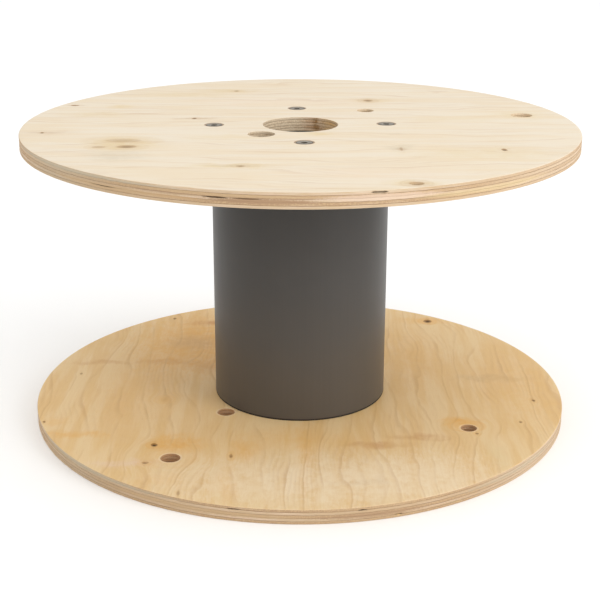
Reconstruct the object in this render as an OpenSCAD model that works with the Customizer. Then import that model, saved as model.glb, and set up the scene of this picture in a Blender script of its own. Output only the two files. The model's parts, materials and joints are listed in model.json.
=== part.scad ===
// Wooden cable drum, standing on its end on the floor.
// Two round plywood flanges are screwed to the two ends of a smooth tube.
// The origin is the middle of the underside of the bottom flange. +Z is up, along the drum's axis.

/* [Overall] */
// Outside diameter of both flanges
flange_d = 500; // [460:1:640]
// Thickness of each plywood flange
flange_t = 13; // [10:0.5:18]
// Height of the drum, from the underside of the bottom flange to the top face
drum_h = 270; // [200:1:400]

/* [Barrel] */
// Outside diameter of the tube that the cable is wound on
barrel_d = 162; // [135:1:200]
// Wall thickness of the tube
barrel_wall = 6; // [5.5:0.5:9]

/* [Flange holes] */
// Diameter of the arbor hole in the middle of each flange
arbor_d = 68; // [40:1:82]
// Diameter of the drive hole beside the arbor hole
drive_d = 24; // [14:1:26]
// Width of the wood between the arbor hole and the drive hole
drive_gap = 9.5; // [3:0.5:12]
// Direction of the drive hole, counted from +X towards +Y
drive_angle = 232; // [220:1:245]
// Diameter of the hole beside the barrel for the inner cable end
inner_hole_d = 16; // [8:0.5:18]
// Clear distance from the barrel to the edge of the inner cable hole
inner_hole_gap = 2.5; // [1:0.5:10]
// Direction of the inner cable hole in the top flange
inner_angle_top = 47.5; // [30:0.5:75]
// Direction of the inner cable hole in the bottom flange
inner_angle_bottom = 222; // [200:0.5:250]
// Diameter of the hole near the rim of the top flange for the outer cable end
outer_hole_d = 20; // [8:0.5:24]
// Distance from the rim of the top flange to the middle of the outer cable hole
outer_hole_inset = 37.5; // [25:0.5:75]
// Direction of the outer cable hole in the top flange
outer_hole_angle = 12.5; // [-20:0.5:60]
// Diameter of the wide tie hole in the bottom flange
wide_tie_d = 17; // [8:0.5:20]
// Distance from the rim of the bottom flange to the middle of the wide tie hole
wide_tie_inset = 57.5; // [25:0.5:75]
// Direction of the wide tie hole
wide_tie_angle = 235; // [215:0.5:260]
// Diameter of the narrow tie hole in the bottom flange
narrow_tie_d = 14.5; // [8:0.5:20]
// Distance from the rim of the bottom flange to the middle of the narrow tie hole
narrow_tie_inset = 70.5; // [25:0.5:75]
// Direction of the narrow tie hole
narrow_tie_angle = 328; // [300:0.5:350]

/* [Screws] */
// Number of screws in each flange
screw_count = 4; // [3:1:4]
// Direction of the first screw, counted from +X towards +Y
screw_turn = 2.5; // [-10:0.5:12]
// Diameter of the flat screw head
head_d = 15; // [10:0.5:18]
// Thickness of the flat screw head
head_t = 2.5; // [2:0.1:4]
// Diameter of the plain screw shank
shank_d = 4; // [3:0.1:4.2]
// Length of a screw, head included
screw_len = 40; // [25:1:60]
// Width across the flats of the hexagon socket
socket_af = 4; // [3:0.5:5]
// Depth of the hexagon socket
socket_depth = 2; // [1:0.1:2.2]

/* [Hidden] */
$fn = 96;
// Small bevel that breaks the edges of the flanges
edge_break = 0.8;
// Small bevel round the top of a screw head
head_bevel = 0.3;
// Gap between a screw head and the side of its recess
head_gap = 0.25;
// Gap between a screw shank and its hole in the plywood
shank_gap = 0.25;
// Gap between a screw shank and its pilot hole in the tube
pilot_gap = 0.05;
// How far a pilot hole runs on past the tip of its screw
pilot_spare = 2;
// How far a cutting shape stands past the face that it cuts
cut_past = 1;

flange_r = flange_d / 2;
barrel_r = barrel_d / 2;
barrel_len = drum_h - 2 * flange_t;
top_z = drum_h - flange_t;
screw_r = barrel_r - barrel_wall / 2;
drive_r = arbor_d / 2 + drive_gap + drive_d / 2;
inner_hole_r = barrel_r + inner_hole_gap + inner_hole_d / 2;
shank_len = screw_len - head_t;
bite = screw_len - flange_t;

// Upright hole of diameter d through a flange that stands on z = 0
module flange_hole(r, angle, d) {
    rotate([0, 0, angle])
        translate([r, 0, -cut_past])
            cylinder(h = flange_t + 2 * cut_past, d = d);
}

// Plywood disc with broken edges, its outer face upwards, standing on z = 0
module flange_disc() {
    rotate_extrude()
        polygon([
            [0, 0],
            [flange_r - edge_break, 0],
            [flange_r, edge_break],
            [flange_r, flange_t - edge_break],
            [flange_r - edge_break, flange_t],
            [0, flange_t]
        ]);
}

// Places a shape on the axis of screw number i, counted from 1
module at_screw(i) {
    rotate([0, 0, screw_turn + (i - 1) * 360 / screw_count])
        translate([screw_r, 0, 0])
            children();
}

// Places a shape on the axis of every screw of a flange
module at_screws() {
    for (i = [1 : screw_count])
        at_screw(i)
            children();
}

// Turns a shape that faces up into one that faces down
module facing_down() {
    mirror([0, 0, 1])
        children();
}

// Recess for a screw head and the clearance hole under it, cut downwards from z = 0
module screw_recess() {
    translate([0, 0, -flange_t - cut_past])
        cylinder(h = flange_t + cut_past, d = shank_d + 2 * shank_gap);
    translate([0, 0, -head_t])
        cylinder(h = head_t + cut_past, d = head_d + 2 * head_gap);
}

// Pilot hole for a screw in the end of the tube, cut downwards from z = 0
module pilot_hole() {
    translate([0, 0, -bite - pilot_spare])
        cylinder(h = bite + pilot_spare + cut_past, d = shank_d + 2 * pilot_gap);
}

// Screw with its head upwards, the top of the head on z = 0
module screw() {
    difference() {
        union() {
            translate([0, 0, -screw_len])
                cylinder(h = shank_len + head_t / 2, d = shank_d);
            rotate_extrude()
                polygon([
                    [0, -head_t],
                    [head_d / 2, -head_t],
                    [head_d / 2, -head_bevel],
                    [head_d / 2 - head_bevel, 0],
                    [0, 0]
                ]);
        }
        translate([0, 0, -socket_depth])
            cylinder(h = socket_depth + cut_past, d = socket_af / cos(30), $fn = 6);
    }
}

module flange_top() {
    color("#f0e4cc")
        difference() {
            translate([0, 0, top_z]) {
                difference() {
                    flange_disc();
                    flange_hole(0, 0, arbor_d);
                    flange_hole(drive_r, drive_angle, drive_d);
                    flange_hole(inner_hole_r, inner_angle_top, inner_hole_d);
                    flange_hole(flange_r - outer_hole_inset, outer_hole_angle, outer_hole_d);
                }
            }
            translate([0, 0, drum_h])
                at_screws()
                    screw_recess();
        }
}

module flange_bottom() {
    color("#e2c896")
        difference() {
            flange_disc();
            flange_hole(0, 0, arbor_d);
            flange_hole(drive_r, drive_angle, drive_d);
            flange_hole(inner_hole_r, inner_angle_bottom, inner_hole_d);
            flange_hole(flange_r - wide_tie_inset, wide_tie_angle, wide_tie_d);
            flange_hole(flange_r - narrow_tie_inset, narrow_tie_angle, narrow_tie_d);
            at_screws()
                facing_down()
                    screw_recess();
        }
}

module barrel() {
    color("#4a4642")
        difference() {
            translate([0, 0, flange_t])
                cylinder(h = barrel_len, d = barrel_d);
            translate([0, 0, flange_t - cut_past])
                cylinder(h = barrel_len + 2 * cut_past, d = barrel_d - 2 * barrel_wall);
            translate([0, 0, top_z])
                at_screws()
                    pilot_hole();
            translate([0, 0, flange_t])
                at_screws()
                    facing_down()
                        pilot_hole();
        }
}

module screw_top(i) {
    color("#8d8c8a")
        translate([0, 0, drum_h])
            at_screw(i)
                screw();
}

module screw_bottom(i) {
    color("#8d8c8a")
        at_screw(i)
            facing_down()
                screw();
}

flange_bottom();
flange_top();
barrel();
for (i = [1 : screw_count]) {
    screw_top(i);
    screw_bottom(i);
}
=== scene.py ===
"""Empty cable drum: two plywood flanges on a dark grey tube, held by flat-headed screws.

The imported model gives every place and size. This script adds the finish: the ply edges, the veneer
figure and its knots, the tube's satin skin, the screw heads and a plain studio.
Lengths are in metres. Feature lists are in millimetres, measured from the drum's axis.
"""

import json
import math
from collections import namedtuple

import bmesh
import bpy
import numpy as np
from mathutils import Matrix, Vector, geometry, noise


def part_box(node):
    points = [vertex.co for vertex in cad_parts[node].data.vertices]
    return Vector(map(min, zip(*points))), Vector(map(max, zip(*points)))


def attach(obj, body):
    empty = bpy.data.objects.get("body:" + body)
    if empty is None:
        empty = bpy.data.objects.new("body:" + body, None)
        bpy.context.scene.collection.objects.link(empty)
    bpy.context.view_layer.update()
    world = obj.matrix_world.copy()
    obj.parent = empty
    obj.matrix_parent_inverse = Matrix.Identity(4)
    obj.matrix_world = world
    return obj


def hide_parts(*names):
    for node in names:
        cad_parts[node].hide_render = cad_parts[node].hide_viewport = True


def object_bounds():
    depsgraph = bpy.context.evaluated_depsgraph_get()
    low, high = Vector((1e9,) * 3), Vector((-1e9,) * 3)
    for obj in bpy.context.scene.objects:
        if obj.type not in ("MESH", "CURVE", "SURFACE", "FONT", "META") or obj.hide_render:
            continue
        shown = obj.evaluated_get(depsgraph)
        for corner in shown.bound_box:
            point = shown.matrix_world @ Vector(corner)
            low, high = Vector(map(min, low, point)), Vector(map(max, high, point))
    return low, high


bl_info = {
    "name": "Cable Drum",
    "version": (1, 0, 0),
    "blender": (4, 5, 0),
    "location": "View3D > Sidebar > Cable Drum",
    "description": "Builds a plywood cable drum around its packed frame",
    "category": "Add Mesh",
}

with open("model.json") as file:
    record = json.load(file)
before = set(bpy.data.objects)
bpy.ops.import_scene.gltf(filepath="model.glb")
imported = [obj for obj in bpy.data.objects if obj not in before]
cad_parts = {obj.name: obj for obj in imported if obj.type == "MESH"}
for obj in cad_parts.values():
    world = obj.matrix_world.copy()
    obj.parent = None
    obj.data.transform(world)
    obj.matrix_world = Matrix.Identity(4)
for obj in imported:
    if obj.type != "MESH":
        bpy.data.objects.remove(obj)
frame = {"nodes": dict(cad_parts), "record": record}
cad_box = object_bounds()

BODY = "root"
MM = 0.001
TURN = 2 * math.pi
PLIES = 5

# Distances from the axis in millimetres: a cut edge is a hole's wall inside the first, and rim past the
# second.
HOLE_ZONE = 232.0
RIM_ZONE = 240.0
# How far the outlines of stains are torn, in millimetres.
TEAR = 26.0
# Points nearer to each other than this are one.
MERGE = 2e-6
# Depths of the glue lines and of the saw's marks on a cut edge, and half a glue line's height in plies.
SEAM_DEPTH = 0.00010
SAW_DEPTH = 0.00007
SEAM_HALF = 0.07
# Heights of the bumps: wood, the tube's broad waves, plating, and the finest texture.
WOOD_BUMP = 0.00009
TUBE_BUMP = 0.00025
PLATING_BUMP = 0.00006
FINE_BUMP = 0.00003
# Depth of the washboard on a veneer face.
WASHBOARD = 0.00002
# Distance between points on a hole's wall.
HOLE_STEP = 0.0013
# Rings of points on a face round each hole: distance outside the hole, and share of its wall's points.
HOLE_RINGS = ((0.0009, 1.0), (0.0024, 0.6))
# A face's other points keep this far from the rim and from a hole.
RIM_MARGIN = 0.0012
HOLE_MARGIN = 0.0006
# Points round a screw's recess, and round a pilot hole.
RECESS_COUNT = 48
PILOT_COUNT = 24

MOUNTS = {mount["name"]: mount for mount in frame["record"]["mounts"]}
TOP_SCREWS = sorted(name for name in frame["nodes"] if name.startswith("screw_top_"))
BOTTOM_SCREWS = sorted(name for name in frame["nodes"] if name.startswith("screw_bottom_"))

# x, y: place. along, across: half sizes of the core, along and across the grain. dark: strength of the
# core's colour. halo: strength of the warm ring around it. tail: length of the streak each way along
# the grain. pit: depth of the hole that the knot leaves.
Knot = namedtuple("Knot", "x y along across dark halo tail pit")

# Masks of all knots of a sheet, and how far they push its growth rings aside in millimetres.
KnotMarks = namedtuple("KnotMarks", "body core rim streak push")

# x, y: place. wide, deep: half sizes in x and y. tint: name of a stain colour. strength: 0 to 1.
Stain = namedtuple("Stain", "x y wide deep tint strength")

# turn: direction from +X in degrees. level: height in plies from the sheet's lower face.
# reach: half length along the rim in degrees. tall: half height in plies. pit: depth.
CoreGap = namedtuple("CoreGap", "turn level reach tall pit")

# Patch of colour on the rim, placed like a CoreGap. tint: name of a stain colour. strength: 0 to 1.
RimPatch = namedtuple("RimPatch", "turn level reach tall tint strength")

# What one flange's plywood looks like. pale, warm: veneer colours. halo: colour round its knots.
# low, thick: its underside's height and its thickness, in metres. edge_stains: stains on cut edges.
# fresh_holes: holes with a pale broken ring. heads: screw heads with grime and painted shade round them.
# Both are (middle, radius) in metres. wall_tone, wall_share: colour laid on the walls of holes, and how
# much.
# ring_step: spacing of the growth rings. ring_dark: their strength. along_y: the grain runs in y.
Sheet = namedtuple(
    "Sheet",
    "pale warm halo low thick knots stains edge_stains patches gaps fresh_holes heads"
    " wall_tone wall_share ring_step ring_dark along_y")

TOP_KNOTS = (
    Knot(-219, 90, 3.6, 2.4, 0.85, 0.3, 14, 0.5),
    Knot(-226, -41, 1.6, 2.4, 0.8, 0.3, 20, 0.3),
    Knot(-151, -73, 14.0, 7.0, 0.12, 0.30, 0, 0.06),
    Knot(-145, -97, 7.5, 5.5, 0.36, 0.45, 7, 0.2),
    Knot(-168, -99, 5.0, 4.0, 0.08, 0.35, 6, 0.0),
    Knot(-98, 26, 2.0, 3.0, 0.75, 0.2, 22, 0.3),
    Knot(-66, 173, 2.6, 3.0, 0.35, 0.4, 30, 0.1),
    Knot(-47, -167, 3.2, 3.0, 0.30, 0.4, 28, 0.1),
    Knot(67, 120, 4.4, 5.0, 0.45, 0.6, 12, 0.3),
    Knot(84, -103, 1.3, 6.0, 0.22, 0.25, 6, 0.1),
    Knot(169, -105, 2.3, 4.0, 0.75, 0.3, 0, 0.5),
    Knot(86.5, -222, 5.2, 4.8, 0.45, 0.6, 7, 1.6),
    Knot(58, -244.8, 6.0, 1.3, 0.62, 0.3, 9, 0.0),
)
TOP_STAINS = (
    Stain(-150, -130, 30, 26, "grey", 0.35),
    Stain(84, -100, 14, 18, "grey", 0.4),
    Stain(-96, 26, 24, 6, "tan", 0.45),
    Stain(-70, 174, 46, 14, "straw", 0.7),
    Stain(-52, -167, 44, 14, "straw", 0.9),
    Stain(-56, -165, 26, 5, "grey", 0.35),
    Stain(18, -43, 20, 10, "straw", 0.9),
    Stain(85, -42, 10, 4, "grey", 0.35),
    Stain(-173, 83, 16, 12, "straw", 0.6),
    Stain(-190, 45, 44, 16, "straw", 0.5),
    Stain(209, 46, 34, 26, "straw", 0.6),
    Stain(70, 122, 28, 18, "straw", 0.6),
    Stain(150, -118, 80, 34, "straw", 0.45),
    Stain(-215, -38, 26, 10, "tan", 0.3),
    Stain(-150, -84, 40, 34, "straw", 0.9),
    Stain(86, -222, 26, 14, "straw", 0.7),
    Stain(-60, -60, 60, 16, "straw", 0.35),
    Stain(-20, 110, 120, 30, "pink", 0.25),
    Stain(60, -190, 90, 26, "pink", 0.2),
    Stain(-120, 150, 60, 20, "straw", 0.5),
    Stain(140, 30, 60, 16, "straw", 0.4),
)
TOP_EDGE_STAINS = (
    Stain(27, 20, 17, 24, "amber", 0.65),
    Stain(9, 32, 13, 12, "red", 0.5),
    Stain(13.2, 31.3, 2.9, 8, "knot_rim", 1.0),
    Stain(-34, -44, 16, 16, "grey", 0.3),
    Stain(-190, -160, 90, 60, "grey", 0.4),
    Stain(190, -150, 110, 90, "side_grain", 0.5),
)
BOTTOM_KNOTS = (
    Knot(-127, -132, 3.2, 3.0, 0.95, 1.0, 8, 0.6),
    Knot(-131, -167, 2.2, 2.8, 0.35, 0.5, 5, 0.3),
    Knot(-59, -154, 3.8, 1.6, 0.4, 0.6, 8, 0.2),
    Knot(-98, -222, 4.0, 1.6, 0.2, 0.1, 9, 0.1),
    Knot(-128, -33, 4.0, 4.2, 0.0, 0.55, 4, 0.0),
    Knot(-217, 31, 2.4, 1.5, 0.3, 0.1, 5, 0.1),
    Knot(-232, -84, 1.5, 1.5, 0.8, 0.3, 5, 0.2),
    Knot(141, 186, 4.6, 4.2, 0.9, 0.9, 12, 0.5),
    Knot(221, -33, 2.4, 1.7, 0.6, 0.3, 6, 0.2),
    Knot(201, -82, 1.8, 1.6, 0.4, 0.2, 4, 0.1),
    Knot(158, -107, 1.8, 1.6, 0.4, 0.6, 4, 0.2),
    Knot(151, -91, 5.2, 7.0, 0.0, 0.9, 0, 0.0),
    Knot(-112, -156, 9.0, 10.0, 0.0, 0.3, 0, 0.0),
    Knot(-139, 193, 2.6, 1.8, 0.6, 0.2, 6, 0.2),
    Knot(-14, 156, 5.5, 4.6, 0.8, 0.5, 10, 0.4),
    Knot(36, 214, 3.0, 2.6, 0.7, 0.3, 8, 0.2),
)
# Besides real stains, three big patches here are painted shade and painted light.
BOTTOM_STAINS_AND_PAINTED_LIGHT = (
    Stain(-110, -128, 30, 26, "amber", 0.9),
    Stain(-112, -196, 18, 14, "amber", 0.3),
    Stain(-48, -146, 20, 26, "amber", 0.7),
    Stain(4, -160, 9, 90, "amber", 0.5),
    Stain(-60, -205, 10, 50, "amber", 0.55),
    Stain(-8, -120, 70, 30, "amber", 0.3),
    Stain(118, -190, 60, 60, "fresh", 0.4),
    Stain(-150, -168, 38, 10, "pink", 0.55),
    Stain(-132, 64, 40, 10, "red", 0.7),
    Stain(-92, 52, 30, 20, "red", 0.5),
    Stain(-200, 60, 40, 8, "red", 0.4),
    # Painted shade: warm darkening at the back left, under the top flange.
    Stain(-100, 120, 90, 110, "amber", 0.85),
    Stain(-150, 0, 60, 160, "amber", 0.25),
    Stain(-92, 178, 34, 12, "red", 0.7),
    Stain(-110, 118, 40, 26, "tan", 0.45),
    Stain(-205, -112, 44, 10, "amber", 0.6),
    Stain(-224, -84, 20, 16, "amber", 0.35),
    Stain(136, 188, 40, 14, "amber", 0.5),
    Stain(66, -130, 34, 8, "red", 0.6),
    Stain(106, -114, 32, 9, "red", 0.5),
    Stain(146, -82, 26, 13, "amber", 0.95),
    Stain(170, -150, 12, 40, "straw", 0.5),
    Stain(112, 70, 50, 110, "amber", 0.3),
    Stain(190, 22, 46, 12, "tan", 0.5),
    # Painted shade: warm darkening on the right, under the top flange.
    Stain(215, 0, 60, 130, "amber", 0.3),
    Stain(50, -205, 34, 7, "tan", 0.6),
    # Painted light: the front is paler, where more light reaches it.
    Stain(20, -200, 170, 70, "fresh", 0.8),
)
BOTTOM_EDGE_STAINS = (
    Stain(-190, -160, 90, 60, "grey", 0.3),
    Stain(60, -242, 90, 16, "tan", 0.5),
    Stain(200, -150, 90, 90, "side_grain", 0.5),
)
TOP_CORE_GAPS = (
    CoreGap(255.5, 2.80, 2.4, 0.16, 1.6),
    CoreGap(261.0, 2.76, 2.6, 0.08, 1.0),
    CoreGap(233.0, 1.95, 3.0, 0.05, 0.8),
    CoreGap(283.4, 4.52, 1.5, 0.28, 1.2),
    CoreGap(120.0, 3.00, 3.2, 0.12, 1.8),
    CoreGap(38.0, 1.05, 2.4, 0.10, 1.6),
)
TOP_RIM_PATCHES = (
    RimPatch(263.5, 2.15, 10.5, 0.85, "end_grain", 1.0),
    RimPatch(246, 1.9, 7, 0.3, "red", 0.5),
    RimPatch(236, 1.85, 18, 0.75, "tan", 0.8),
    RimPatch(247, 2.85, 8, 0.25, "end_grain", 0.6),
    # Painted shade: grey on the top ply at the left front, the side away from the light.
    RimPatch(222, 4.3, 30, 0.5, "grey", 0.6),
    RimPatch(256, 3.6, 18, 0.4, "tan", 0.7),
    RimPatch(284, 3.0, 12, 1.0, "pink", 0.6),
    RimPatch(306, 2.0, 16, 0.8, "straw", 0.5),
    RimPatch(95, 2.2, 20, 0.9, "end_grain", 0.6),
    RimPatch(160, 4.0, 24, 0.7, "grey", 0.4),
)
BOTTOM_RIM_PATCHES = (
    RimPatch(250, 2.3, 20, 0.9, "tan", 0.7),
    RimPatch(284, 2.1, 12, 0.9, "end_grain", 0.7),
    # Painted shade: grey on the top ply at the left front, the side away from the light.
    RimPatch(224, 4.2, 26, 0.6, "grey", 0.5),
    RimPatch(318, 3.2, 18, 0.8, "grey", 0.35),
    RimPatch(100, 2.6, 24, 1.0, "end_grain", 0.5),
)
BOTTOM_CORE_GAPS = (
    CoreGap(258.0, 4.02, 1.2, 0.10, 1.2),
    CoreGap(281.5, 3.95, 0.9, 0.14, 1.6),
    CoreGap(288.5, 1.00, 0.7, 0.16, 1.8),
    CoreGap(301.0, 0.95, 1.6, 0.08, 1.2),
    CoreGap(72.0, 3.02, 2.8, 0.12, 1.8),
    CoreGap(175.0, 1.98, 2.2, 0.09, 1.4),
)


# ---------------------------------------------------------------- settings


def length(name, text, default):
    """A size property in metres."""
    return bpy.props.FloatProperty(
        name=name, description=text, default=default, subtype="DISTANCE", unit="LENGTH", precision=5)


def factor(name, text, default, top=1.0):
    """A plain number from nothing to a top value."""
    return bpy.props.FloatProperty(
        name=name, description=text, default=default, min=0.0, max=top, subtype="FACTOR")


def colour(name, text, default):
    """A linear colour property."""
    return bpy.props.FloatVectorProperty(
        name=name, description=text, default=default, size=3, min=0.0, max=1.0, subtype="COLOR")


class VeneerSettings(bpy.types.PropertyGroup):
    """Colours and scales of the sheet that both flanges are cut from."""

    top_pale: colour("Top veneer", "Main colour of the top flange", (0.735, 0.645, 0.51))
    top_warm: colour("Top veneer, warm", "Broad warmer bands of the top flange", (0.72, 0.595, 0.42))
    bottom_pale: colour("Bottom veneer", "Main colour of the bottom flange", (0.73, 0.54, 0.295))
    bottom_warm: colour("Bottom veneer, warm", "Broad bands of the bottom flange", (0.68, 0.45, 0.195))
    late_wood: colour("Late wood", "Thin dark side of a growth ring", (0.42, 0.20, 0.065))
    knot_core: colour("Knot core", "Middle of a knot", (0.060, 0.029, 0.006))
    knot_rim: colour("Knot rim", "Warm brown of a knot", (0.33, 0.165, 0.05))
    side_grain: colour("Side grain", "Edge of a ply whose grain runs along it", (0.63, 0.50, 0.36))
    end_grain: colour("End grain", "Edge of a ply whose grain is cut across", (0.395, 0.25, 0.143))
    glue: colour("Glue line", "Dark line between two plies", (0.24, 0.13, 0.06))
    amber: colour("Amber stain", "Resin-coloured patches", (0.70, 0.385, 0.10))
    straw: colour("Straw stain", "Pale yellow streaks", (0.68, 0.53, 0.29))
    tan: colour("Tan stain", "Light brown patches", (0.53, 0.365, 0.205))
    red: colour("Red stain", "Red-brown smears", (0.50, 0.225, 0.075))
    pink: colour("Pink stain", "Pale pink patches", (0.74, 0.56, 0.43))
    grey: colour("Grey stain", "Cool grey patches", (0.49, 0.435, 0.32))
    fresh: colour("Fresh cut", "Pale ring where a drill has broken the surface", (0.82, 0.69, 0.50))
    gloss: factor("Gloss", "Strength of the veneer's reflections", 0.32)
    rim_round: length("Rim rounding", "Radius of the flange's sanded outer edges", 0.0008)
    hole_round: length("Hole rounding", "Radius of the sanded edges of the holes", 0.0003)
    mesh_step: length("Mesh step", "Distance between the points of a flange's faces", 0.0034)


class TubeSettings(bpy.types.PropertyGroup):
    """Finish of the tube that the cable is wound on."""

    skin: colour("Skin", "Main colour of the tube", (0.050, 0.046, 0.042))
    scuff: colour("Scuffs", "Colour of rubbed places", (0.085, 0.078, 0.072))
    # Dust and a painted warm reflection of the bottom flange on the lower part of the tube.
    dust_and_reflection: colour("Dust and painted reflection", "Warmer colour of the lower part", (0.092, 0.076, 0.060))
    # Painted shade on the upper part of the tube, under the top flange.
    shade: colour("Painted shade", "Colour of the upper part", (0.018, 0.017, 0.016))
    roughness: factor("Roughness", "How far the skin spreads a reflection", 0.42)
    gloss: factor("Gloss", "Strength of the skin's reflections", 0.36)
    # Painted contact shade where the tube meets the flanges.
    end_painted_shade: colour("End painted shade", "Colour where the tube meets the flanges", (0.006, 0.005, 0.004))
    end_round: length("End rounding", "Radius of the tube's cut ends", 0.0006)
    pilot_radius: length("Pilot radius", "Radius of a pilot hole for a screw", 0.00205)
    pilot_depth: length("Pilot depth", "Depth of a pilot hole", 0.029)
    waviness: length("Waviness", "How far the drawn wall wanders inwards", 0.00008)


class ScrewSettings(bpy.types.PropertyGroup):
    """Sizes and finish of the flat-headed screws."""

    metal: colour("Metal", "Colour of the plated steel", (0.34, 0.305, 0.25))
    soot: colour("Worn plating", "Colour of the dull patches", (0.15, 0.127, 0.098))
    # Grime and painted shade: a dark ring at the edge of each head, for the gap round it.
    grime_and_painted_shade: colour("Painted shade", "Colour of the dirt round the edge of each head", (0.075, 0.062, 0.048))
    # Painted shade deep in the sockets.
    socket: colour("Socket", "Colour deep in the sockets", (0.012, 0.011, 0.010))
    head_thick: length("Head thickness", "Thickness of the flat head", 0.0025)
    shank_radius: length("Shank radius", "Radius of the plain shank", 0.002)
    socket_radius: length("Socket radius", "Distance from the socket's middle to its corners", 0.0031)
    socket_depth: length("Socket depth", "Depth of the hexagon socket", 0.0019)
    head_gap: length("Head gap", "Gap between a head and the side of its recess", 0.00025)


class StudioSettings(bpy.types.PropertyGroup):
    """Floor, lights and camera."""

    floor: colour("Floor", "Colour of the floor", (0.95, 0.95, 0.945))
    floor_size: length("Floor size", "Half the width of the floor", 30.0)
    sky_low: factor("Surround, level", "Strength of the white surround at the horizon", 0.64, 5.0)
    sky_high: factor("Surround, overhead", "Strength of the white surround overhead", 1.30, 5.0)
    key: bpy.props.FloatProperty(
        name="Key light", description="Power of the soft light on the right", default=25.0, unit="POWER")
    fill: bpy.props.FloatProperty(
        name="Fill light", description="Power of the soft light on the left", default=3.0, unit="POWER")
    camera_back: length("Camera distance", "Distance of the camera in front of the axis", 1.1546)
    camera_high: length("Camera height", "Height of the camera over the floor", 0.4997)
    camera_pitch: bpy.props.FloatProperty(
        name="Camera pitch", description="How far the camera looks down",
        default=math.radians(19.021), subtype="ANGLE", unit="ROTATION")
    camera_roll: bpy.props.FloatProperty(
        name="Camera roll", description="How far the camera leans to its left",
        default=math.radians(0.153), subtype="ANGLE", unit="ROTATION")
    lens: bpy.props.FloatProperty(
        name="Lens", description="Focal length in millimetres", default=77.31, unit="CAMERA")


# ---------------------------------------------------------------- shader maths


class Value:
    """One socket of a material, so that shader maths reads as an expression."""

    def __init__(self, shader, socket):
        self.shader = shader
        self.socket = socket

    def __add__(self, other):
        return self.shader.math("ADD", self, other)

    def __radd__(self, other):
        return self.shader.math("ADD", other, self)

    def __sub__(self, other):
        return self.shader.math("SUBTRACT", self, other)

    def __rsub__(self, other):
        return self.shader.math("SUBTRACT", other, self)

    def __mul__(self, other):
        return self.shader.math("MULTIPLY", self, other)

    def __rmul__(self, other):
        return self.shader.math("MULTIPLY", other, self)

    def __abs__(self):
        return self.shader.math("ABSOLUTE", self)

    def fraction(self):
        return self.shader.math("FRACT", self)

    def floor(self):
        return self.shader.math("FLOOR", self)

    def most(self, other):
        return self.shader.math("MAXIMUM", self, other)

    def ease(self, start, end, low=0.0, high=1.0):
        """Goes smoothly from low at start to high at end, and stays there outside."""
        return self.shader.node(
            "ShaderNodeMapRange", {"interpolation_type": "SMOOTHSTEP"},
            {"Value": self, "From Min": start, "From Max": end, "To Min": low, "To Max": high})


class Shader:
    """A node material with one Principled surface, built from expressions."""

    def __init__(self, name):
        self.material = bpy.data.materials.new(name)
        self.material.use_nodes = True
        self.tree = self.material.node_tree
        self.surface = self.tree.nodes["Principled BSDF"]
        self.position = self.node("ShaderNodeTexCoord", {}, {}, "Object")

    def node(self, kind, settings, sockets, output=0):
        """Adds a node: its settings first, then the values or links of its sockets."""
        made = self.tree.nodes.new(kind)
        for name, value in settings.items():
            setattr(made, name, value)
        for name, value in sockets.items():
            self.feed(made.inputs[name], value)
        return Value(self, made.outputs[output])

    def feed(self, socket, value):
        """Links a value to a socket, or sets the socket to a constant."""
        if isinstance(value, Value):
            self.tree.links.new(value.socket, socket)
        elif socket.type == "RGBA":
            socket.default_value = (*value, 1.0)
        else:
            socket.default_value = value

    def math(self, operation, first, second=0.0):
        return self.node("ShaderNodeMath", {"operation": operation}, {0: first, 1: second})

    def vector(self, operation, first, second=(0.0, 0.0, 0.0), output=0):
        return self.node("ShaderNodeVectorMath", {"operation": operation}, {0: first, 1: second}, output)

    def place_in_mm(self):
        """The place on the piece, in millimetres."""
        return self.node(
            "ShaderNodeVectorMath", {"operation": "SCALE"}, {0: self.position, "Scale": 1 / MM})

    def split(self, vector):
        """The three parts of a vector."""
        made = self.node("ShaderNodeSeparateXYZ", {}, {"Vector": vector}).socket.node
        return [Value(self, output) for output in made.outputs]

    def join(self, x, y, z=0.0):
        return self.node("ShaderNodeCombineXYZ", {}, {"X": x, "Y": y, "Z": z})

    def blend(self, amount, first, second, kind="MIX"):
        """Mixes two colours."""
        settings = {"data_type": "RGBA", "blend_type": kind, "clamp_factor": True}
        made = self.node("ShaderNodeMix", settings, {}).socket.node
        self.feed(made.inputs[0], amount)
        self.feed(made.inputs[6], first)
        self.feed(made.inputs[7], second)
        return Value(self, made.outputs[2])

    def grain(self, vector, stretch, detail=2.0, rough=0.5, warp=0.0):
        """Noise from 0 to 1 whose cells measure stretch, in the vector's own unit."""
        scaled = self.vector("MULTIPLY", vector, tuple(1 / size for size in stretch))
        sockets = {
            "Vector": scaled, "Scale": 1.0, "Detail": detail, "Roughness": rough, "Distortion": warp}
        return self.node("ShaderNodeTexNoise", {"noise_dimensions": "3D"}, sockets)

    def streaks(self, base, share, pattern, dark, light):
        """Lightens and darkens a colour by a pattern, between two colours near the middle grey."""
        return self.blend(share, base, self.blend(pattern, dark, light), "OVERLAY")

    def finish(self, base, roughness, heights=()):
        """Feeds the surface. heights are (height, distance in metres) pairs for bumps on each other."""
        self.feed(self.surface.inputs["Base Color"], base)
        self.feed(self.surface.inputs["Roughness"], roughness)
        normal = None
        for height, distance in heights:
            sockets = {"Height": height, "Distance": distance, "Strength": 1.0}
            if normal is not None:
                sockets["Normal"] = normal
            normal = self.node("ShaderNodeBump", {}, sockets)
        if normal is not None:
            self.feed(self.surface.inputs["Normal"], normal)
        return self.material


# ---------------------------------------------------------------- materials


def reach_of(shader, plane, place, half):
    """Distance from a place, counted in half sizes, so that it is 1 on the ellipse."""
    offset = shader.vector("SUBTRACT", plane, (*place, 0.0))
    scaled = shader.vector("MULTIPLY", offset, (1 / half[0], 1 / half[1], 0.0))
    return shader.vector("LENGTH", scaled, output=1)


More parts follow.
